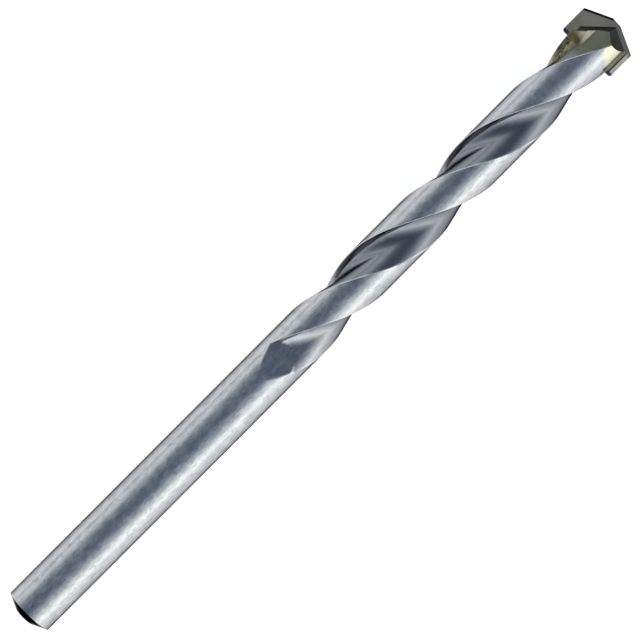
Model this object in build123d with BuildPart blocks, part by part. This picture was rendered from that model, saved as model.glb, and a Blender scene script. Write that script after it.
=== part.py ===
from build123d import *
from math import acos, atan2, cos, degrees, hypot, radians, sin, tan
import os

# Masonry drill bit, lying on a flat surface. X runs along the drill with the point towards +X,
# Z is up, and the wide faces of the carbide plate are level. Sizes are in millimetres.

# Driving dimensions
NOMINAL_DIAMETER = 12.0        # across the cutting edges
BODY_DIAMETER = 9.5            # shank and fluted body
OVERALL_LENGTH = 150.0
FLUTED_LENGTH = 89.0           # from the point to the end of the flutes
LEAD = 55.6                    # length of one full turn of a flute, right handed
SHANK_CONE_LENGTH = 1.4
SHANK_END_RADIUS = 1.95
SHANK_LENGTH = 57.6            # plain cylinder behind the cone
BODY_TAPER = 0.05              # the fluted body is this much smaller in radius at the point

# Head
POINT_ANGLE = 130.0
TIP_THICKNESS = 2.4
TIP_HEIGHT = 8.35              # from the crossing of the cutting edges to the foot of the plate
TIP_FOOT_CHAMFER = 0.35
LIP_BEVEL_WIDTH = 0.55         # along the rake face
LIP_BEVEL_ANGLE = 30.0
CARBIDE_RELIEF = 26.0          # behind each cutting edge
STEEL_RELIEF = 40.0            # on the steel behind the carbide
BRAZE_THICKNESS = 0.1
GASH_ANGLE = 43.5              # slope of the gash in front of each cutting edge
GASH_LEAN = 18.0               # how far the gash opens outwards
GASH_START = 0.62              # sideways from the axis, where the gash leaves the flank

# Section of a flute. Angles are counted from the flute's middle, positive towards its trailing
# side, and radii are shares of the body's radius.
FLUTE_PHASE = 186.3            # where this flute's middle stands at the point, from straight up
LEADING_EDGE_ANGLE = -46.5
TRAILING_EDGE_ANGLE = 47.0
FLOOR_RADIUS, FLOOR_ANGLE = 0.43, -14.0
SHOULDER_RADIUS, SHOULDER_ANGLE = 0.62, -3.0
HUMP_RADIUS, HUMP_ANGLE = 0.78, 22.0
WALL_TILT = -5.0               # of the leading wall where it meets the floor
LEADING_ROUND = 0.35
ROUND_EXIT = 15.0              # the round leaves the land at this angle
PAST_EDGE_TURN = 12.0
SECTION_STEP = 3.6             # from one section of the flute to the next

# End of the flutes, where their floor comes out into the shank
RAMP_SLOPE = 12.7
RAMP_CURVE = 68.0
RAMP_LENGTH = 9.8
RAMP_DROP = 50.0

BODY_RADIUS = BODY_DIAMETER / 2
TIP_RADIUS = NOMINAL_DIAMETER / 2
SHANK_END_X = -OVERALL_LENGTH / 2
POINT_X = OVERALL_LENGTH / 2
FLUTE_END_X = POINT_X - FLUTED_LENGTH
SHANK_START_X = SHANK_END_X + SHANK_CONE_LENGTH
HEAD_RADIUS = BODY_RADIUS - BODY_TAPER
AXIS = Axis((0, 0, BODY_RADIUS), (1, 0, 0))
EDGE_SLOPE = tan(radians(90 - POINT_ANGLE / 2))
RELIEF_SLOPE = tan(radians(CARBIDE_RELIEF))
# The chisel edge lies below the crossing of the cutting edges, by the relief over half the plate.
CROSSING_X = POINT_X + RELIEF_SLOPE * TIP_THICKNESS / 2
TIP_FOOT_X = CROSSING_X - TIP_HEIGHT
BEVEL_X = CROSSING_X - LIP_BEVEL_WIDTH * hypot(1, EDGE_SLOPE)
SLOT_HALF = TIP_THICKNESS / 2 + BRAZE_THICKNESS
SLOT_FOOT_X = TIP_FOOT_X - BRAZE_THICKNESS
LEVEL = Plane.XY.offset(BODY_RADIUS)           # level plane through the axis
BIG = 3 * NOMINAL_DIAMETER


def polar(share, angle):
    """A point of the flute section."""
    return Vector(share * BODY_RADIUS * cos(radians(angle)), share * BODY_RADIUS * sin(radians(angle)))


def around(centre, radius, angle):
    """The point at an angle on a circle."""
    return centre + Vector(radius * cos(angle), radius * sin(angle))


def bearing(start, end):
    return atan2(end.Y - start.Y, end.X - start.X)


def flute_plane(x):
    """The plane of a flute section: its first axis points out through the flute's middle."""
    turn = radians(FLUTE_PHASE + 360 / LEAD * (x - POINT_X))
    return Plane(origin=(x, 0, BODY_RADIUS), x_dir=(0, -sin(turn), cos(turn)), z_dir=(1, 0, 0))


def half_turn(part):
    return part.rotate(AXIS, 180)


# The leading wall of a flute is an arc through its floor and the leading edge of the land.
floor = polar(FLOOR_RADIUS, FLOOR_ANGLE)
chord = polar(1, LEADING_EDGE_ANGLE) - floor
wall_normal = Vector(cos(radians(WALL_TILT)), sin(radians(WALL_TILT)))
wall_radius = chord.dot(chord) / (2 * chord.dot(wall_normal))
wall_centre = floor + wall_normal * wall_radius

# A round touches that arc from outside and the land from inside, and takes one into the other.
reach = wall_radius + LEADING_ROUND
inner = BODY_RADIUS - LEADING_ROUND
gap = wall_centre.length
away = acos((gap**2 + inner**2 - reach**2) / (2 * gap * inner))
land_angle = bearing(Vector(0, 0), wall_centre) - away
round_centre = around(Vector(0, 0), inner, land_angle)
touch_angle = bearing(round_centre, wall_centre)
exit_angle = land_angle + radians(ROUND_EXIT)
touch = around(round_centre, LEADING_ROUND, touch_angle)
leave = around(round_centre, LEADING_ROUND, exit_angle)
clear = leave + Vector(sin(exit_angle), -cos(exit_angle)) * BODY_RADIUS / 2
round_middle = around(round_centre, LEADING_ROUND, (touch_angle + exit_angle) / 2)
wall_middle_angle = bearing(wall_centre, (floor + touch) / 2)
wall_middle = around(wall_centre, wall_radius, wall_middle_angle)

# The trailing side is an arc over a hump, carried on a little past the land's surface.
shoulder = polar(SHOULDER_RADIUS, SHOULDER_ANGLE)
hump = polar(HUMP_RADIUS, HUMP_ANGLE)
trailing_edge = polar(1, TRAILING_EDGE_ANGLE)
hump_centre = ThreePointArc(shoulder, hump, trailing_edge).arc_center
past_edge = hump_centre + (trailing_edge - hump_centre).rotate(Axis.Z, PAST_EDGE_TURN)

with BuildSketch() as hollow:
    with BuildLine():
        ThreePointArc(floor, wall_middle, touch)
        ThreePointArc(touch, round_middle, leave)
        Polyline(leave, clear, polar(1.5, -60), polar(1.5, 0), polar(1.5, 50), past_edge)
        ThreePointArc(past_edge, hump, shoulder)
        Line(shoulder, floor)
    make_face()


# The hollow of the upper flute, less the ramp that ends it
first_x = FLUTE_END_X - 1
section_count = round((POINT_X + 3 - first_x) / SECTION_STEP)
with BuildPart() as flute:
    for i in range(section_count + 1):
        with BuildSketch(flute_plane(first_x + (POINT_X + 3 - first_x) * i / section_count)):
            add(hollow.sketch)
    loft()
    with BuildSketch(Plane.XZ) as ramp_side:
        with BuildLine():
            ramp = CenterArc(
                (FLUTE_END_X - RAMP_CURVE * sin(radians(RAMP_SLOPE)),
                 BODY_DIAMETER - RAMP_CURVE * cos(radians(RAMP_SLOPE))),
                RAMP_CURVE,
                90 - RAMP_SLOPE,
                -degrees(RAMP_LENGTH / RAMP_CURVE),
            )
            drop = PolarLine(ramp @ 1, BODY_DIAMETER, -RAMP_DROP)
            foot = drop @ 1
            back = FLUTE_END_X - BODY_DIAMETER
            Polyline(foot, (back, foot.Y), (back, BIG), (FLUTE_END_X, BIG), ramp @ 0)
        make_face()
    extrude(amount=BIG, both=True, mode=Mode.SUBTRACT)

# What the grinder takes off above the level through the axis: the steel behind the right cutting
# edge, and the gash in front of the left one
flank_x = CROSSING_X - RELIEF_SLOPE * TIP_THICKNESS
flank_normal = (1, -EDGE_SLOPE, tan(radians(STEEL_RELIEF)))
gash_x = flank_x - EDGE_SLOPE * GASH_START
lean, slope = radians(GASH_LEAN), radians(GASH_ANGLE)
gash_normal = (cos(lean) * cos(slope), cos(lean) * sin(slope), sin(lean))
rake_z = BODY_RADIUS + TIP_THICKNESS / 2
with BuildPart() as ground_off:
    with BuildSketch(Plane(origin=(flank_x, 0, rake_z), z_dir=flank_normal)):
        Rectangle(BIG, BIG)
    extrude(amount=BIG)
    with BuildSketch(Plane(origin=(gash_x, -GASH_START, rake_z), z_dir=gash_normal)):
        Rectangle(BIG, BIG)
    extrude(amount=BIG)
    split(bisect_by=LEVEL, keep=Keep.TOP)

# Steel body: shank, fluted length, ground head and the slot for the plate
with BuildPart() as drill_body:
    with BuildSketch(Plane.XZ):
        with BuildLine():
            Polyline(
                (SHANK_END_X, BODY_RADIUS),
                (SHANK_END_X, BODY_RADIUS + SHANK_END_RADIUS),
                (SHANK_START_X, BODY_DIAMETER),
                (SHANK_START_X + SHANK_LENGTH, BODY_DIAMETER),
                (POINT_X, BODY_RADIUS + HEAD_RADIUS),
                (POINT_X, BODY_RADIUS),
                close=True,
            )
        make_face()
    revolve(axis=AXIS)
    for cut in (flute, ground_off):
        add(cut.part, mode=Mode.SUBTRACT)
        add(half_turn(cut.part), mode=Mode.SUBTRACT)
    with BuildSketch(Plane.XZ):
        with Locations((SLOT_FOOT_X, BODY_RADIUS)):
            Rectangle(BIG, 2 * SLOT_HALF, align=(Align.MIN, Align.CENTER))
    extrude(amount=BIG, both=True, mode=Mode.SUBTRACT)

# Carbide plate: roof-shaped top with relief behind each edge, bevelled lips, round-ground sides
with BuildPart() as carbide_tip:
    corner_x = CROSSING_X - EDGE_SLOPE * TIP_RADIUS
    chamfer_x = TIP_FOOT_X + TIP_FOOT_CHAMFER
    chamfer_y = TIP_RADIUS - TIP_FOOT_CHAMFER
    with BuildSketch(LEVEL):
        with BuildLine():
            Polyline(
                (CROSSING_X, 0),
                (corner_x, TIP_RADIUS),
                (chamfer_x, TIP_RADIUS),
                (TIP_FOOT_X, chamfer_y),
                (TIP_FOOT_X, -chamfer_y),
                (chamfer_x, -TIP_RADIUS),
                (corner_x, -TIP_RADIUS),
                close=True,
            )
        make_face()
    extrude(amount=TIP_THICKNESS / 2, both=True)
    with BuildSketch(Plane(origin=(0, 0, BODY_RADIUS), x_dir=(0, 1, 0), z_dir=(1, 0, 0))):
        Circle(TIP_RADIUS)
    extrude(amount=OVERALL_LENGTH, mode=Mode.INTERSECT)
    edge, bevel = radians(90 - POINT_ANGLE / 2), radians(LIP_BEVEL_ANGLE)
    for side in (1, -1):
        # the flank falls away from the lip, and a narrow bevel runs along the rake face side
        lip = (CROSSING_X, 0, BODY_RADIUS + side * TIP_THICKNESS / 2)
        relief_plane = Plane(origin=lip, z_dir=(1, side * EDGE_SLOPE, -side * RELIEF_SLOPE))
        split(bisect_by=relief_plane, keep=Keep.BOTTOM)
        bevel_start = (BEVEL_X, 0, BODY_RADIUS + side * TIP_THICKNESS / 2)
        bevel_normal = (sin(bevel), side * EDGE_SLOPE * sin(bevel), side * cos(bevel) / cos(edge))
        split(bisect_by=Plane(origin=bevel_start, z_dir=bevel_normal), keep=Keep.BOTTOM)

# Brazing alloy between the plate and the walls and foot of the slot. Where a flute has taken the
# wall of the slot away, the alloy lies open on the plate.
with BuildPart() as braze_joint:
    with BuildSketch(Plane(origin=(SLOT_FOOT_X, 0, BODY_RADIUS), x_dir=(0, 1, 0), z_dir=(1, 0, 0))):
        Circle(HEAD_RADIUS)
        Rectangle(BODY_DIAMETER, 2 * SLOT_HALF, mode=Mode.INTERSECT)
    extrude(amount=POINT_X - SLOT_FOOT_X)
    with BuildSketch(Plane.XZ):
        with Locations((TIP_FOOT_X, BODY_RADIUS)):
            Rectangle(BIG, TIP_THICKNESS, align=(Align.MIN, Align.CENTER))
    extrude(amount=BIG, both=True, mode=Mode.SUBTRACT)
    add(ground_off.part, mode=Mode.SUBTRACT)
    add(half_turn(ground_off.part), mode=Mode.SUBTRACT)

drill_body.part.label = "drill_body"
carbide_tip.part.label = "carbide_tip"
braze_joint.part.label = "braze_joint"

os.makedirs("parts", exist_ok=True)
export_step(drill_body.part, "parts/drill_body.step")
export_step(carbide_tip.part, "parts/carbide_tip.step")
export_step(braze_joint.part, "parts/braze_joint.step")
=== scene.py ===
"""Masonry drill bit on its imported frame: fluted body, finishes, floor, studio light and camera."""
from math import atan2, cos, pi, radians, sin, sqrt, tan
from types import SimpleNamespace

import bmesh
import bpy
from mathutils import Matrix, Vector


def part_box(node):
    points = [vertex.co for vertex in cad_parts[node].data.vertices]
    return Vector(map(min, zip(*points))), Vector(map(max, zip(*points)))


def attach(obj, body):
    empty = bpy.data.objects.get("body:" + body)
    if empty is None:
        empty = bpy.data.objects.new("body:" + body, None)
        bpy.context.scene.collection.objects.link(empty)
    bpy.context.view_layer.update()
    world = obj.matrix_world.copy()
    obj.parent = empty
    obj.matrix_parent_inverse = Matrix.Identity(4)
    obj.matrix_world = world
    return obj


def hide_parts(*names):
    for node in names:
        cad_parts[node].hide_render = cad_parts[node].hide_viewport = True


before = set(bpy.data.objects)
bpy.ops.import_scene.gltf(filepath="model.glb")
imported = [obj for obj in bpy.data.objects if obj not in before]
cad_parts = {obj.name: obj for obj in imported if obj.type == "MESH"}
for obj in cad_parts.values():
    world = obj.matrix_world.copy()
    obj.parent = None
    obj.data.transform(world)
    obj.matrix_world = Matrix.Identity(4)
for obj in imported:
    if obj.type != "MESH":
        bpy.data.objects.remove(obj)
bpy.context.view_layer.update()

# Places, from the frame
body_low, body_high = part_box("drill_body")
tip_low, tip_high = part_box("carbide_tip")
AXIS_Z = (body_low.z + body_high.z) / 2
BODY_RADIUS = (body_high.z - body_low.z) / 2
SHANK_END_X = body_low.x
HEAD_FOOT_X = tip_low.x                 # where the plate's slot begins
POINT_X = tip_high.x
MM = 0.001


# Fluted body
# The body is drawn again on the frame's axis, phase and lead, with the finer section of its flutes.
# Points of the section are (outwards, sideways) as shares of the body's radius.
LEAD = 55.6 * MM
FLUTE_PHASE = radians(186.3)            # where the upper flute of the run-out stands at the point
FLUTED_LENGTH = 89.0 * MM
FLUTE_END_X = POINT_X - FLUTED_LENGTH
TAPER = 0.05 * MM                       # the fluted part is this much thinner in radius at the point
LEADING_ANGLE, TRAILING_ANGLE = radians(-47.5), radians(47.0)
EDGE_ROUND = 0.022                      # radius of the leading edge
CORNER = (0.468, -0.655)                # foot of the leading wall
RIDGE_SIDE = -0.56                      # low ridge along the floor
RISE = (0.606, 0.0)                     # where the floor turns into the hump
HUMP_CENTRE = (-0.152, 0.448)
FLOOR_BEND = 0.905                      # radius of the floor over the radius of the hump

# Steps along each stretch of the section, and along the drill
EDGE_STEPS, WALL_STEPS, RIDGE_STEPS, FLOOR_STEPS, HUMP_STEPS, LAND_STEPS = 6, 8, 3, 14, 16, 20
RING_STEP = 0.24 * MM

# The ramp that brings the upper flute's floor out to the shank
RAMP_SLOPE = radians(12.7)
RAMP_CURVE = 68.0 * MM
RAMP_REACH = 7.0 * MM                   # length of the ramp in the middle
TRAILING_LOSS, LEADING_LOSS = 0.30, 0.11  # length lost aside of it, by the square of the distance
RAMP_DROP = 1.2                         # fall for each millimetre past the ramp

# The shank's end, and the length in which the ring points of the shank even out
END_RADIUS, CONE_LENGTH = 1.95 * MM, 1.4 * MM
SHANK_SETTLE, SETTLE_STEPS = 8.0 * MM, 4

# Head: the slot for the plate, and what the grinder takes off above the level through the axis
PLATE_HALF, BRAZE_FILM = 1.2 * MM, 0.1 * MM
TIP_HEIGHT = 8.35 * MM                  # from the plate's foot to where the cutting edges would cross
POINT_ANGLE = radians(130)
CARBIDE_RELIEF, STEEL_RELIEF = radians(26), radians(37)
EDGE_SLOPE = tan((pi - POINT_ANGLE) / 2)
FLANK_X = HEAD_FOOT_X + TIP_HEIGHT - tan(CARBIDE_RELIEF) * 2 * PLATE_HALF
GASH_ANGLE, GASH_LEAN, GASH_START = radians(43.5), radians(21), 0.62 * MM
GASH_X = FLANK_X - EDGE_SLOPE * GASH_START
CUTTER_SIZE = 36 * MM
SHARP_ANGLE = radians(28)               # faces that meet at more than this show an edge


def spaced(start, end, count):
    """Even steps from start on, without the end itself."""
    return [start + (end - start) * i / count for i in range(count)]


def hollow_points():
    """One flute's section from the round of its leading edge on, and the angle where it starts."""
    edge = Vector((cos(LEADING_ANGLE), sin(LEADING_ANGLE)))
    corner = Vector(CORNER)
    wall = (edge - corner).normalized()
    into_land = Vector((wall.y, -wall.x))
    offset = corner.dot(into_land) + EDGE_ROUND
    centre = into_land * offset + wall * sqrt((1 - EDGE_ROUND) ** 2 - offset ** 2)
    land, touch = atan2(centre.y, centre.x), atan2(-into_land.y, -into_land.x)
    round_angles = spaced(land, touch, EDGE_STEPS)
    points = [centre + EDGE_ROUND * Vector((cos(angle), sin(angle))) for angle in round_angles]
    foot = centre - into_land * EDGE_ROUND
    points += [foot.lerp(corner, share) for share in spaced(0, 1, WALL_STEPS)]
    rise, hump = Vector(RISE), Vector(HUMP_CENTRE)
    floor = rise + (rise - hump) * FLOOR_BEND
    hump_radius, floor_radius = (rise - hump).length, (floor - rise).length

    def floor_point(side):
        return Vector((floor.x - sqrt(floor_radius ** 2 - (side - floor.y) ** 2), side))

    def hump_point(side):
        return Vector((hump.x + sqrt(hump_radius ** 2 - (side - hump.y) ** 2), side))

    points += [corner.lerp(floor_point(RIDGE_SIDE), share) for share in spaced(0, 1, RIDGE_STEPS)]
    points += [floor_point(side) for side in spaced(RIDGE_SIDE, 0, FLOOR_STEPS)]
    points += [hump_point(side) for side in spaced(0, sin(TRAILING_ANGLE), HUMP_STEPS)]
    return points, land


def ramp_height(x, side):
    """How far over the axis the ramp lies at x, at a distance aside towards -Y."""
    run = max(0.0, x - FLUTE_END_X)
    loss = TRAILING_LOSS if side > 0 else LEADING_LOSS
    near = max(0.0, min(run, RAMP_REACH - loss * side ** 2 / MM))
    along = near + RAMP_CURVE * sin(RAMP_SLOPE)
    fallen = RAMP_CURVE * cos(RAMP_SLOPE) - sqrt(RAMP_CURVE ** 2 - along ** 2)
    return BODY_RADIUS - fallen - RAMP_DROP * (run - near)


def fluted_ring(x, hollow, land):
    """The body's outline at x, as (towards -Y, up) from the axis."""
    radius = BODY_RADIUS - TAPER * (x - FLUTE_END_X) / FLUTED_LENGTH
    turn = FLUTE_PHASE + 2 * pi / LEAD * (x - POINT_X)
    half = []
    for out, aside in hollow:
        side = radius * (out * sin(turn) + aside * cos(turn))
        up = radius * (out * cos(turn) - aside * sin(turn))
        surface = sqrt(max(0.0, radius ** 2 - side ** 2))
        half.append((side, max(up, min(ramp_height(x, side), surface))))
    for angle in spaced(TRAILING_ANGLE + turn, pi + land + turn, LAND_STEPS):
        half.append((radius * sin(angle), radius * cos(angle)))
    return half + [(-side, -up) for side, up in half]


def shank_rings(first):
    """Rings from the end of the flutes back to the end of the shank."""
    angles = [atan2(side, up) for side, up in first]
    for i in range(1, len(angles)):
        while angles[i] < angles[i - 1]:
            angles[i] += 2 * pi
    even = [angles[0] + 2 * pi * i / len(angles) for i in range(len(angles))]
    shares = [step / SETTLE_STEPS for step in range(1, SETTLE_STEPS + 1)]
    stops = [(FLUTE_END_X - SHANK_SETTLE * share, share) for share in shares]
    rings = []
    for x, share in stops + [(SHANK_END_X + CONE_LENGTH, 1.0)]:
        bearings = [a + (b - a) * share for a, b in zip(angles, even)]
        rings.append((x, [(BODY_RADIUS * sin(a), BODY_RADIUS * cos(a)) for a in bearings]))
    rings.append((SHANK_END_X, [(END_RADIUS * sin(a), END_RADIUS * cos(a)) for a in even]))
    return rings


def rings_to_mesh(rings):
    """Closed skin over rings that have the same number of points."""
    shape = bmesh.new()
    rows = []
    for x, ring in rings:
        rows.append([shape.verts.new((x, -side, AXIS_Z + up)) for side, up in ring])
    for near, far in zip(rows, rows[1:]):
        for i in range(len(near)):
            shape.faces.new((near[i - 1], near[i], far[i], far[i - 1]))
    shape.faces.new(rows[0])
    shape.faces.new(rows[-1])
    bmesh.ops.recalc_face_normals(shape, faces=shape.faces)
    return shape


def grinding_cutter(origin, normal, turned):
    """The half of space beyond a plane and above the level through the axis, or its half turn."""
    shape = bmesh.new()
    bmesh.ops.create_cube(shape, size=CUTTER_SIZE)
    seat = Matrix.Translation(origin) @ normal.to_track_quat("Z", "Y").to_matrix().to_4x4()
    shape.transform(seat @ Matrix.Translation((0, 0, CUTTER_SIZE / 2)))
    everything = shape.verts[:] + shape.edges[:] + shape.faces[:]
    bmesh.ops.bisect_plane(
        shape, geom=everything, plane_co=(0, 0, AXIS_Z), plane_no=(0, 0, 1), clear_inner=True
    )
    bmesh.ops.holes_fill(shape, edges=shape.edges)
    bmesh.ops.recalc_face_normals(shape, faces=shape.faces)
    if turned:
        to_axis = Matrix.Translation((0, 0, AXIS_Z))
        shape.transform(to_axis @ Matrix.Rotation(pi, 4, "X") @ to_axis.inverted())
    return shape


def head_cutters():
    """Flank and gash of both cutting edges, then the slot for the plate."""
    rake_z = AXIS_Z + PLATE_HALF
    flank = Vector((1, -EDGE_SLOPE, tan(STEEL_RELIEF)))
    level_lean = Vector((cos(GASH_ANGLE), sin(GASH_ANGLE), 0)) * cos(GASH_LEAN)
    gash = level_lean + Vector((0, 0, sin(GASH_LEAN)))
    for turned in (False, True):
        yield grinding_cutter(Vector((FLANK_X, 0, rake_z)), flank, turned)
        yield grinding_cutter(Vector((GASH_X, -GASH_START, rake_z)), gash, turned)
    slot = bmesh.new()
    bmesh.ops.create_cube(slot, size=1.0)
    size = (CUTTER_SIZE, CUTTER_SIZE, 2 * (PLATE_HALF + BRAZE_FILM))
    middle = (HEAD_FOOT_X - BRAZE_FILM + CUTTER_SIZE / 2, 0, AXIS_Z)
    slot.transform(Matrix.Translation(middle) @ Matrix.Diagonal((*size, 1)))
    yield slot


def add_object(name, shape):
    mesh = bpy.data.meshes.new(name)
    shape.to_mesh(mesh)
    shape.free()
    thing = bpy.data.objects.new(name, mesh)
    bpy.context.scene.collection.objects.link(thing)
    return thing


def fluted_body():
    """Steel body with the flutes' full section, cut by the head's cutters one after another."""
    hollow, land = hollow_points()
    count = round(FLUTED_LENGTH / RING_STEP)
    stations = [FLUTE_END_X + FLUTED_LENGTH * i / count for i in range(count, -1, -1)]
    rings = [(x, fluted_ring(x, hollow, land)) for x in stations]
    rings += shank_rings(rings[-1][1])
    body = add_object("fluted_body", rings_to_mesh(rings))
    cutters = [add_object("cutter", shape) for shape in head_cutters()]
    for cutter in cutters:
        cut = body.modifiers.new("cut", "BOOLEAN")
        cut.operation = "DIFFERENCE"
        cut.solver = "EXACT"
        cut.object = cutter
    seen = body.evaluated_get(bpy.context.evaluated_depsgraph_get())
    mesh = bpy.data.meshes.new_from_object(seen)
    body.modifiers.clear()
    body.data = mesh
    for cutter in cutters:
        bpy.data.objects.remove(cutter)
    mesh.materials.clear()
    mesh.polygons.foreach_set("use_smooth", [True] * len(mesh.polygons))
    mesh.set_sharp_from_angle(angle=SHARP_ANGLE)
    return body


# Node helpers
class Nodes:
    """Short ways to make and join the nodes of one material or world."""

    def __init__(self, tree):
        self.tree = tree
        tree.nodes.clear()

    def new(self, kind, **values):
        node = self.tree.nodes.new(kind)
        for name, value in values.items():
            setattr(node, name, value)
        return node

    def join(self, source, target):
        self.tree.links.new(source, target)

    def put(self, socket, value):
        """A number or colour goes on the socket itself; a socket is linked."""
        if isinstance(value, bpy.types.NodeSocket):
            self.join(value, socket)
        elif value is not None:
            socket.default_value = value

    def math(self, operation, a, b=None):
        node = self.new("ShaderNodeMath", operation=operation)
        self.put(node.inputs[0], a)
        self.put(node.inputs[1], b)
        return node.outputs[0]

    def ramp(self, value, low, high, to_low=0.0, to_high=1.0):
        """A smooth step from one value to another, for an input between low and high."""
        node = self.new("ShaderNodeMapRange", interpolation_type="SMOOTHSTEP")
        for socket, number in zip(node.inputs, (value, low, high, to_low, to_high)):
            self.put(socket, number)
        return node.outputs[0]

    def between(self, value, low, high, soft):
        """1 where a value lies between two limits, with soft borders."""
        rise = self.ramp(value, low - soft, low + soft)
        fall = self.ramp(value, high - soft, high + soft, 1.0, 0.0)
        return self.math("MULTIPLY", rise, fall)

    def mix(self, factor, a, b, blend="MIX"):
        node = self.new("ShaderNodeMix", data_type="RGBA", blend_type=blend)
        self.put(node.inputs[0], factor)
        self.put(node.inputs[6], a)
        self.put(node.inputs[7], b)
        return node.outputs[2]

    def noise(self, where, scale, detail=3.0, stretch=(1, 1, 1), rough=0.5):
        """Noise with features of about 1 / scale metres, drawn out along an axis by stretch."""
        spread = self.new("ShaderNodeMapping")
        self.join(where, spread.inputs["Vector"])
        spread.inputs["Scale"].default_value = stretch
        node = self.new("ShaderNodeTexNoise")
        self.join(spread.outputs[0], node.inputs["Vector"])
        node.inputs["Scale"].default_value = scale
        node.inputs["Detail"].default_value = detail
        node.inputs["Roughness"].default_value = rough
        return node.outputs["Fac"]

    def bump(self, height, strength, distance, under=None):
        node = self.new("ShaderNodeBump")
        node.inputs["Strength"].default_value = strength
        node.inputs["Distance"].default_value = distance
        self.join(height, node.inputs["Height"])
        if under is not None:
            self.join(under, node.inputs["Normal"])
        return node.outputs["Normal"]

    def facing(self, low, high, sign=1.0):
        """1 where the surface faces the point, or the shank's end with a sign of -1, 0 elsewhere."""
        normal = self.new("ShaderNodeSeparateXYZ")
        self.join(self.new("ShaderNodeNewGeometry").outputs["True Normal"], normal.inputs[0])
        return self.ramp(self.math("MULTIPLY", normal.outputs["X"], sign), low, high)


def shade(red, green, blue):
    return (red, green, blue, 1.0)


def new_material(name):
    material = bpy.data.materials.new(name)
    material.use_nodes = True
    nodes = Nodes(material.node_tree)
    output = nodes.new("ShaderNodeOutputMaterial")
    shader = nodes.new("ShaderNodeBsdfPrincipled")
    nodes.join(shader.outputs[0], output.inputs["Surface"])
    return material, nodes, shader


# Colours of the finishes, and of the painted shade, shadow and highlight
SHADE_BLACK, FACE_SHADE_STEEL = shade(0.028, 0.029, 0.022), shade(0.016, 0.017, 0.012)
STEEL_DULL, STEEL_BRIGHT = shade(0.39, 0.40, 0.41), shade(0.48, 0.485, 0.49)
STEEL_BLUISH, STEEL_FLECK = shade(0.38, 0.40, 0.46), shade(0.27, 0.28, 0.30)
FLUTE_SHADE_STEEL = shade(0.195, 0.20, 0.22)
STEEL_GLANCING = shade(0.05, 0.055, 0.05)
STRAW, VIOLET = shade(0.60, 0.60, 0.44), shade(0.27, 0.24, 0.33)
OLIVE_DARK, OLIVE_LIGHT = shade(0.135, 0.14, 0.105), shade(0.165, 0.17, 0.13)
BROWN_SHADE_DARK, BROWN_SHADE_LIGHT = shade(0.10, 0.085, 0.035), shade(0.25, 0.235, 0.15)
BROWN_SHADE_SPOT = shade(0.07, 0.06, 0.035)
CARBIDE_DARK, CARBIDE_LIGHT = shade(0.37, 0.32, 0.235), shade(0.46, 0.40, 0.30)
CARBIDE_GLANCING = shade(0.12, 0.12, 0.12)
LIP_SHADE, FLANK_SHADE_GREY = shade(0.022, 0.022, 0.022), shade(0.20, 0.195, 0.185)
MARGIN_HIGHLIGHT, GAP_SHADOW_LINE = shade(0.52, 0.51, 0.48), shade(0.07, 0.07, 0.05)
FOOT_DARK = shade(0.06, 0.06, 0.055)
ALLOY_DULL, ALLOY_BRIGHT = shade(0.44, 0.40, 0.20), shade(0.62, 0.59, 0.40)
ALLOY_ON_STEEL, ALLOY_ON_PLATE = shade(0.55, 0.52, 0.36), shade(0.56, 0.50, 0.34)
FLUX_DARK, FLUX_LIGHT = shade(0.11, 0.092, 0.035), shade(0.22, 0.19, 0.09)


def behind_point(millimetres):
    return POINT_X - millimetres * MM


# Where the heat colours and the painted shade lie. A slanted border moves along the drill by a share
# of the distance aside.
HEAT_WANDER = 4 * MM                    # how far a border strays
STRAW_START, STRAW_SLANT = behind_point(3.9), -0.81
OLIVE_START, OLIVE_SLANT = behind_point(9.8), -0.6
BROWN_START, BROWN_END = behind_point(13.5), behind_point(7.0)
VIOLET_START, VIOLET_END = HEAD_FOOT_X - 9 * MM, HEAD_FOOT_X - 2 * MM
SCALE_START, SCALE_FULL = behind_point(13.0), behind_point(8.0)
ALLOY_START, ALLOY_FULL = behind_point(7.4), behind_point(5.8)
POINT_SHADE_START, POINT_SHADE_FULL = behind_point(4.4), behind_point(3.8)
FLUTE_EDGE_RADII = (0.955 * BODY_RADIUS, 0.985 * BODY_RADIUS)

# Limits of what lies aside of the axis, of the gash's painted shadow, and of the plate's darker foot
ALLOY_ASIDE, BROWN_ASIDE = (1.5 * MM, 1.9 * MM), (2.1 * MM, 2.7 * MM)
CREASE_SHADOW_BAND, CREASE_SHADOW_BORDER, CREASE_SHADOW_ENDS = (-0.75 * MM, 0.3 * MM), 0.12 * MM, (3.9 * MM, 4.6 * MM)
ALLOY_BAND, MARGIN_BAND, MARGIN_EDGE = (4.3 * MM, 5.0 * MM), (4.95 * MM, 5.2 * MM), (5.1 * MM, 5.3 * MM)
FOOT_RISE = (HEAD_FOOT_X + 0.35 * MM, HEAD_FOOT_X + 0.75 * MM)
FOOT_CORNER = (4.6 * MM, 5.0 * MM)


def places(nodes):
    """Object coordinates of a point, its X and Y, its height over the axis and its distance aside,
    which is alike after a half turn."""
    at = SimpleNamespace()
    at.where = nodes.new("ShaderNodeTexCoord").outputs["Object"]
    parts = nodes.new("ShaderNodeSeparateXYZ")
    nodes.join(at.where, parts.inputs[0])
    at.x, at.y, z = parts.outputs
    at.lift = nodes.math("SUBTRACT", z, AXIS_Z)
    at.aside = nodes.math("MULTIPLY", at.y, nodes.math("SIGN", at.lift))
    return at


def slanted(nodes, x, aside, slant, start):
    """How far x lies past a slanted border."""
    leaning = nodes.math("MULTIPLY", aside, slant)
    return nodes.math("SUBTRACT", nodes.math("ADD", x, leaning), start)


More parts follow.
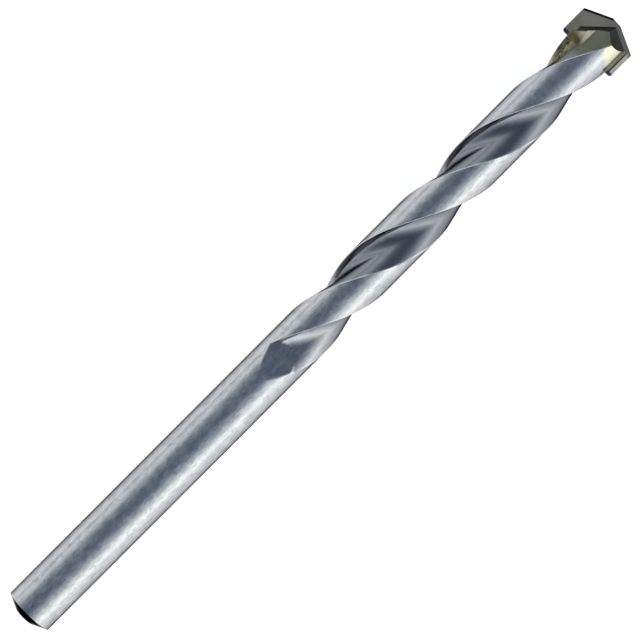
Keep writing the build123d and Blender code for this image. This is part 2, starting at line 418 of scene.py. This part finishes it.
def gash_crease_shadow(nodes, at, wander):
    """Painted shadow in a band along the foot of the gash, in the crease between plate and steel."""
    slant = tan(GASH_ANGLE)
    past = slanted(nodes, at.x, at.aside, slant, GASH_X - GASH_START * slant)
    past = nodes.math("ADD", past, wander)
    band = nodes.between(past, *CREASE_SHADOW_BAND, CREASE_SHADOW_BORDER)
    return nodes.math("MULTIPLY", band, nodes.ramp(at.aside, *CREASE_SHADOW_ENDS, 1.0, 0.0))


def steel_and_flute_shade(nodes, at):
    """Mottled bright lands, and flutes painted darker as shade in their hollows, less so where they run
    out.
    """
    colour = nodes.mix(nodes.ramp(at.mottle, 0.32, 0.68), STEEL_DULL, STEEL_BRIGHT)
    colour = nodes.mix(nodes.ramp(at.patches, 0.45, 0.75, 0.0, 0.25), colour, STEEL_BLUISH)
    colour = nodes.mix(nodes.ramp(at.flecks, 0.55, 0.68, 0.0, 0.45), colour, STEEL_FLECK)
    # painted shade: the flutes are darkened in their hollows, less so towards the run-out
    flute_shade_strength = nodes.ramp(at.x, FLUTE_END_X + 4 * MM, FLUTE_END_X + 24 * MM, 0.35, 1.0)
    return nodes.mix(nodes.math("MULTIPLY", at.milled, flute_shade_strength), colour, FLUTE_SHADE_STEEL)


def heat_colours(nodes, at, colour):
    """Straw on the lands beside the plate, olive in the flutes, alloy and brown at their outer
    side, the brown darkened there as painted shade, and a faint violet behind."""
    violet = nodes.between(at.heat_x, VIOLET_START, VIOLET_END, 2 * MM)
    colour = nodes.mix(nodes.math("MULTIPLY", violet, 0.2), colour, VIOLET)
    past_straw = slanted(nodes, at.near_x, at.aside, STRAW_SLANT, STRAW_START)
    colour = nodes.mix(nodes.ramp(past_straw, -0.6 * MM, 0.4 * MM), colour, STRAW)
    past_olive = slanted(nodes, at.heat_x, at.aside, OLIVE_SLANT, OLIVE_START)
    olive = nodes.mix(nodes.ramp(at.mottle, 0.3, 0.7), OLIVE_DARK, OLIVE_LIGHT)
    in_flute = nodes.math("MULTIPLY", nodes.ramp(past_olive, -1.2 * MM, 1.2 * MM), at.milled)
    colour = nodes.mix(in_flute, colour, olive)
    beside = nodes.ramp(at.aside, *ALLOY_ASIDE)
    alloy = nodes.math("MULTIPLY", beside, nodes.ramp(at.heat_x, ALLOY_START, ALLOY_FULL))
    colour = nodes.mix(nodes.math("MULTIPLY", alloy, at.milled), colour, ALLOY_ON_STEEL)
    # painted shade: the brown on the flutes' outer wall near the plate is darkened for the shade there
    brown_shade = nodes.mix(nodes.ramp(at.patches, 0.40, 0.62), BROWN_SHADE_DARK, BROWN_SHADE_LIGHT)
    brown_shade = nodes.mix(nodes.ramp(at.flecks, 0.50, 0.66), brown_shade, BROWN_SHADE_SPOT)
    outer = nodes.ramp(nodes.math("ABSOLUTE", at.y), *BROWN_ASIDE)
    outer = nodes.math("MULTIPLY", at.milled, outer)
    brown = nodes.between(at.near_x, BROWN_START, BROWN_END, 1.5 * MM)
    return nodes.mix(nodes.math("MULTIPLY", outer, brown), colour, brown_shade)


def painted_face_shade(nodes, at, colour):
    """The ground faces of the head and the end of the shank are painted dark as shade, and the foot
    of the gash gets a band of painted shadow.
    """
    # painted shade: faces turned to the point or to the shank's end are darkened for the dark they
    # mirror
    face_shade = nodes.math("MAXIMUM", nodes.facing(0.45, 0.6), nodes.facing(0.45, 0.6, -1.0))
    at_head = nodes.ramp(at.x, HEAD_FOOT_X - 1 * MM, HEAD_FOOT_X)
    at_end = nodes.ramp(at.x, SHANK_END_X + 3 * MM, SHANK_END_X + 2 * MM)
    face_shade = nodes.math("MULTIPLY", face_shade, nodes.math("MAXIMUM", at_head, at_end))
    colour = nodes.mix(face_shade, colour, FACE_SHADE_STEEL)
    wander = nodes.math("MULTIPLY", nodes.math("SUBTRACT", at.mottle, 0.5), 0.5 * MM)
    # painted shadow along the foot of the gash
    return nodes.mix(gash_crease_shadow(nodes, at, wander), colour, SHADE_BLACK)


def steel_finish():
    """Blasted and lightly polished steel, browned and yellowed by brazing heat at the head,
    with painted shade in its flutes, on ground faces and along the gash.
    """
    material, nodes, shader = new_material("blasted_steel")
    at = places(nodes)
    at.mottle = nodes.noise(at.where, scale=1100, detail=4, stretch=(0.55, 1, 1))
    at.flecks = nodes.noise(at.where, scale=1500, detail=2, stretch=(0.5, 1, 1), rough=0.7)
    at.patches = nodes.noise(at.where, scale=160, detail=3, stretch=(0.35, 1, 1))
    squares = [nodes.math("MULTIPLY", part, part) for part in (at.y, at.lift)]
    radius = nodes.math("SQRT", nodes.math("ADD", *squares))
    at.milled = nodes.ramp(radius, *FLUTE_EDGE_RADII, 1.0, 0.0)
    wander = nodes.math("MULTIPLY", nodes.math("SUBTRACT", at.patches, 0.5), HEAT_WANDER)
    at.heat_x = nodes.math("ADD", at.x, wander)
    at.near_x = nodes.math("ADD", at.x, nodes.math("MULTIPLY", wander, 0.25))
    colour = heat_colours(nodes, at, steel_and_flute_shade(nodes, at))
    nodes.join(painted_face_shade(nodes, at, colour), shader.inputs["Base Color"])

    # scale from brazing dulls the flutes beside the plate
    scale = nodes.math("MULTIPLY", nodes.ramp(at.heat_x, SCALE_START, SCALE_FULL), at.milled)
    metallic = nodes.math("SUBTRACT", 1.0, nodes.math("MULTIPLY", scale, 0.6))
    nodes.join(metallic, shader.inputs["Metallic"])
    shader.inputs["Specular Tint"].default_value = STEEL_GLANCING
    polish = nodes.ramp(at.mottle, 0.3, 0.7, 0.17, 0.27)
    roughness = nodes.math("ADD", polish, nodes.math("MULTIPLY", scale, 0.3))
    nodes.join(roughness, shader.inputs["Roughness"])
    grain = nodes.noise(at.where, scale=3600, detail=3)
    coarse = nodes.bump(at.mottle, 0.50, 0.03 * MM)
    scratched = nodes.bump(at.flecks, 0.50, 0.03 * MM, coarse)
    nodes.join(nodes.bump(grain, 0.30, 0.01 * MM, scratched), shader.inputs["Normal"])
    return material


def carbide_finish():
    """Sintered carbide with grinding lines, darker and duller than the steel."""
    material, nodes, shader = new_material("ground_carbide")
    at = places(nodes)
    pores = nodes.noise(at.where, scale=3000, detail=3)
    cloud = nodes.noise(at.where, scale=260, detail=3)
    lines = nodes.noise(at.where, scale=2200, detail=2, stretch=(1, 0.05, 0.4))
    colour = nodes.mix(nodes.ramp(cloud, 0.35, 0.65), CARBIDE_DARK, CARBIDE_LIGHT)

    # beside the steel the alloy has run out over the plate, to a painted shadow line and a painted
    # highlight
    outwards = nodes.math("MULTIPLY", at.aside, -1.0)
    # painted highlight: the plate's margin beyond the steel is lighter and less metallic
    margin_highlight = nodes.ramp(outwards, *MARGIN_EDGE)
    colour = nodes.mix(margin_highlight, colour, MARGIN_HIGHLIGHT)
    alloy = nodes.between(outwards, *ALLOY_BAND, 0.08 * MM)
    colour = nodes.mix(alloy, colour, ALLOY_ON_PLATE)
    # painted shadow in the gap between the steel and the plate
    gap_shadow = nodes.between(outwards, *MARGIN_BAND, 0.06 * MM)
    colour = nodes.mix(gap_shadow, colour, GAP_SHADOW_LINE)

    # the plate is darker at its foot, mostly at its corners; its ground faces get painted shade
    foot = nodes.ramp(at.x, *FOOT_RISE, 1.0, 0.0)
    at_corner = nodes.ramp(nodes.math("ABSOLUTE", at.y), *FOOT_CORNER, 0.25, 1.0)
    colour = nodes.mix(nodes.math("MULTIPLY", foot, at_corner), colour, FOOT_DARK)
    # painted shadow along the foot of the gash
    crease_shadow = gash_crease_shadow(nodes, at, nodes.math("MULTIPLY", pores, 0.1 * MM))
    colour = nodes.mix(crease_shadow, colour, SHADE_BLACK)
    # painted shade: faces turned to the point are darkened, darkest on the lip's bevel, for the dark
    # they mirror
    colour = nodes.mix(nodes.facing(0.3, 0.42), colour, LIP_SHADE)
    colour = nodes.mix(nodes.facing(0.6, 0.75), colour, FLANK_SHADE_GREY)
    nodes.join(colour, shader.inputs["Base Color"])
    metallic = nodes.math("SUBTRACT", 1.0, nodes.math("MULTIPLY", margin_highlight, 0.75))
    nodes.join(metallic, shader.inputs["Metallic"])
    shader.inputs["Specular Tint"].default_value = CARBIDE_GLANCING
    nodes.join(nodes.ramp(pores, 0.3, 0.7, 0.30, 0.42), shader.inputs["Roughness"])
    ground = nodes.bump(lines, 0.20, 0.02 * MM)
    nodes.join(nodes.bump(pores, 0.12, 0.02 * MM, ground), shader.inputs["Normal"])
    return material


def braze_finish():
    """Brazing alloy, dull yellow with brown flux marks that are partly painted shade, and painted
    dark as shade along the point.
    """
    material, nodes, shader = new_material("brazing_alloy")
    at = places(nodes)
    flow = nodes.noise(at.where, scale=520, detail=3)
    colour = nodes.mix(nodes.ramp(flow, 0.38, 0.62), ALLOY_DULL, ALLOY_BRIGHT)
    low = nodes.ramp(at.x, HEAD_FOOT_X + 0.6 * MM, HEAD_FOOT_X + 2.6 * MM, 1.0, 0.0)
    # painted shade: the brown flux marks near the foot are kept mostly to the side away from the lamps
    low = nodes.math("MULTIPLY", low, nodes.ramp(at.aside, -1 * MM, 1 * MM, 0.2, 1.0))
    flux = nodes.mix(nodes.ramp(flow, 0.42, 0.60), FLUX_DARK, FLUX_LIGHT)
    colour = nodes.mix(low, colour, flux)
    # painted shade: the alloy goes dark along the point, beside the dark ground faces
    colour = nodes.mix(nodes.ramp(at.x, POINT_SHADE_START, POINT_SHADE_FULL), colour, SHADE_BLACK)
    # painted shadow along the foot of the gash
    crease_shadow = gash_crease_shadow(nodes, at, nodes.math("MULTIPLY", flow, 0.3 * MM))
    nodes.join(nodes.mix(crease_shadow, colour, SHADE_BLACK), shader.inputs["Base Color"])
    shader.inputs["Metallic"].default_value = 0.35
    nodes.join(nodes.ramp(flow, 0.3, 0.7, 0.6, 0.45), shader.inputs["Roughness"])
    nodes.join(nodes.bump(flow, 0.4, 0.1 * MM), shader.inputs["Normal"])
    return material


steel = steel_finish()
FINISHES = {
    "drill_body": steel,
    "carbide_tip": carbide_finish(),
    "braze_joint": braze_finish(),
}
for node_name, finish in FINISHES.items():
    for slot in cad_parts[node_name].material_slots:
        slot.material = finish

dressed_body = fluted_body()
dressed_body.data.materials.append(steel)
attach(dressed_body, "root")
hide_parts("drill_body")


# Floor
FLOOR_REACH = 3.0
FLOOR_PAPER = shade(0.9, 0.9, 0.9)
FLOOR_LIFT = 0.60                       # light that the white floor adds for camera and mirror rays


def floor_sheet():
    mesh = bpy.data.meshes.new("floor")
    corners = [(x * FLOOR_REACH, y * FLOOR_REACH, 0) for x, y in ((-1, -1), (1, -1), (1, 1), (-1, 1))]
    mesh.from_pydata(corners, [], [(0, 1, 2, 3)])
    sheet = bpy.data.objects.new("floor", mesh)
    bpy.context.scene.collection.objects.link(sheet)
    material = bpy.data.materials.new("white_floor")
    material.use_nodes = True
    nodes = Nodes(material.node_tree)
    output = nodes.new("ShaderNodeOutputMaterial")
    paper = nodes.new("ShaderNodeBsdfDiffuse")
    paper.inputs["Color"].default_value = FLOOR_PAPER
    glow = nodes.new("ShaderNodeEmission")
    path = nodes.new("ShaderNodeLightPath")
    seen = nodes.math("MAXIMUM", path.outputs["Is Camera Ray"], path.outputs["Is Glossy Ray"])
    seen = nodes.math("MAXIMUM", seen, path.outputs["Is Transmission Ray"])
    nodes.join(nodes.math("MULTIPLY", seen, FLOOR_LIFT), glow.inputs["Strength"])
    both = nodes.new("ShaderNodeAddShader")
    nodes.join(paper.outputs[0], both.inputs[0])
    nodes.join(glow.outputs[0], both.inputs[1])
    nodes.join(both.outputs[0], output.inputs["Surface"])
    mesh.materials.append(material)
    return sheet


floor_sheet()


# Studio light
# Brightness of the room, by direction around the drill: sideways share of a direction, -1 towards
# +Y, 0 overhead, +1 towards -Y. A dark ceiling stands between two bright side walls.
ROOM = (
    (-1.00, shade(0.86, 0.88, 0.90)),
    (-0.94, shade(1.19, 1.24, 1.27)),
    (-0.74, shade(0.56, 0.60, 0.66)),
    (-0.53, shade(0.30, 0.35, 0.41)),
    (-0.20, shade(0.20, 0.25, 0.33)),
    (0.00, shade(0.20, 0.25, 0.34)),
    (0.28, shade(0.38, 0.43, 0.52)),
    (0.53, shade(0.78, 0.84, 0.90)),
    (0.74, shade(1.34, 1.41, 1.42)),
    (0.93, shade(2.17, 2.20, 2.16)),
    (1.00, shade(1.58, 1.61, 1.58)),
)
ROOM_PEAK = 2.2
NEARLY_ALONG = 1e-4                     # keeps the sideways share finite for a direction along the drill

# The wall behind the shank is bright and the one ahead of the point is dark. The limits are shares
# of a direction along X, and upwards, between which a wall comes in.
END_WALL, END_WALL_LIMITS = shade(2.0, 2.0, 2.0), (-0.35, -0.85)
FRONT_WALL, FRONT_WALL_LIMITS = shade(0.03, 0.03, 0.04), (0.65, 0.95)
FRONT_WALL_FOOT = (0.10, 0.35)


def studio_world():
    world = bpy.data.worlds.new("studio")
    world.use_nodes = True
    nodes = Nodes(world.node_tree)
    output = nodes.new("ShaderNodeOutputWorld")
    light = nodes.new("ShaderNodeBackground")
    nodes.join(light.outputs[0], output.inputs["Surface"])
    direction = nodes.new("ShaderNodeSeparateXYZ")
    nodes.join(nodes.new("ShaderNodeTexCoord").outputs["Generated"], direction.inputs[0])
    x, y, z = direction.outputs
    squares = [nodes.math("MULTIPLY", part, part) for part in (y, z)]
    across = nodes.math("SQRT", nodes.math("ADD", *squares))
    towards = nodes.math("MULTIPLY", y, -1.0)
    sideways = nodes.math("DIVIDE", towards, nodes.math("MAXIMUM", across, NEARLY_ALONG))
    place = nodes.math("ADD", nodes.math("MULTIPLY", sideways, 0.5), 0.5)
    walls = nodes.new("ShaderNodeValToRGB")
    walls.color_ramp.interpolation = "CARDINAL"
    steps = walls.color_ramp.elements
    for number, (share, colour) in enumerate(ROOM):
        step = steps[number] if number < 2 else steps.new(1.0)
        step.position = (share + 1) / 2
        step.color = [c / ROOM_PEAK for c in colour[:3]] + [1.0]
    nodes.join(place, walls.inputs[0])
    room = nodes.mix(1.0, walls.outputs[0], shade(ROOM_PEAK, ROOM_PEAK, ROOM_PEAK), "MULTIPLY")
    room = nodes.mix(nodes.ramp(x, *END_WALL_LIMITS), room, END_WALL)
    above_floor = nodes.ramp(z, *FRONT_WALL_FOOT)
    ahead = nodes.math("MULTIPLY", nodes.ramp(x, *FRONT_WALL_LIMITS), above_floor)
    nodes.join(nodes.mix(ahead, room, FRONT_WALL), light.inputs["Color"])
    bpy.context.scene.world = world


studio_world()


# Camera
# The photograph looks down on the drill, which lies across the picture with its point at the
# upper right. Pixels are those of the 640 x 640 photograph.
SHANK_END_PIXEL = (29, 610)
POINT_PIXEL = (617, 21)
VIEW_DISTANCE = 0.70
VIEW_TILT = radians(2.3)                # the camera stands towards the point from straight above
LENS, SENSOR = 220.5, 36.0
AIM_X = 0.0002                          # the middle of the picture, along the drill


def photo_camera():
    data = bpy.data.cameras.new("camera")
    data.lens = LENS
    data.sensor_width = SENSOR
    data.clip_start = 0.01
    camera = bpy.data.objects.new("camera", data)
    bpy.context.scene.collection.objects.link(camera)
    aim = Vector((AIM_X, 0, AXIS_Z))
    place = aim + VIEW_DISTANCE * Vector((sin(VIEW_TILT), 0, cos(VIEW_TILT)))
    run, rise = POINT_PIXEL[0] - SHANK_END_PIXEL[0], SHANK_END_PIXEL[1] - POINT_PIXEL[1]
    slope = atan2(rise, run)
    back = (place - aim).normalized()
    along = Vector((1, 0, 0))
    along = (along - along.dot(back) * back).normalized()
    across = back.cross(along)
    right = cos(slope) * along - sin(slope) * across
    up = sin(slope) * along + cos(slope) * across
    turn = Matrix((right, up, back)).transposed().to_4x4()
    camera.matrix_world = Matrix.Translation(place) @ turn
    bpy.context.scene.camera = camera


photo_camera()
bpy.context.scene.view_settings.view_transform = "Standard"
